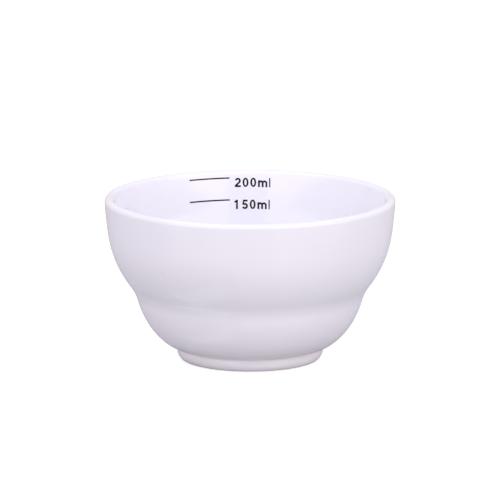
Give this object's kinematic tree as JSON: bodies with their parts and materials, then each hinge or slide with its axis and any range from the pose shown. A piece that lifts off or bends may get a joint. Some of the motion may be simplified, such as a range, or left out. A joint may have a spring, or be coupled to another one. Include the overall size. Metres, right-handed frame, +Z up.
{
  "type": "mixing bowl",
  "caption": "Small round ceramic hair colour bowl with a full round lip, a hollow waist ring, a low foot ring and two measuring marks printed inside.",
  "frame": {"origin": "centre of the bowl's axis at the level of the table that the foot ring stands on", "axes": "+Z up along the bowl's axis of revolution; the measuring marks are inside on the +Y side and read from left to right along +X for somebody looking from -Y"},
  "size_m": [0.097, 0.097, 0.055],
  "materials": {
    "fired_clay": "matte",
    "white_glaze": "gloss",
    "dark_ink": "satin"
  },
  "bodies": {
    "root": {"bowl_body": "fired_clay", "glaze_coat": "white_glaze", "foot_well_glaze": "white_glaze", "graduation_line_200ml": "dark_ink", "graduation_numerals_200ml": "dark_ink", "graduation_line_150ml": "dark_ink", "graduation_numerals_150ml": "dark_ink"}
  },
  "joints": []
}
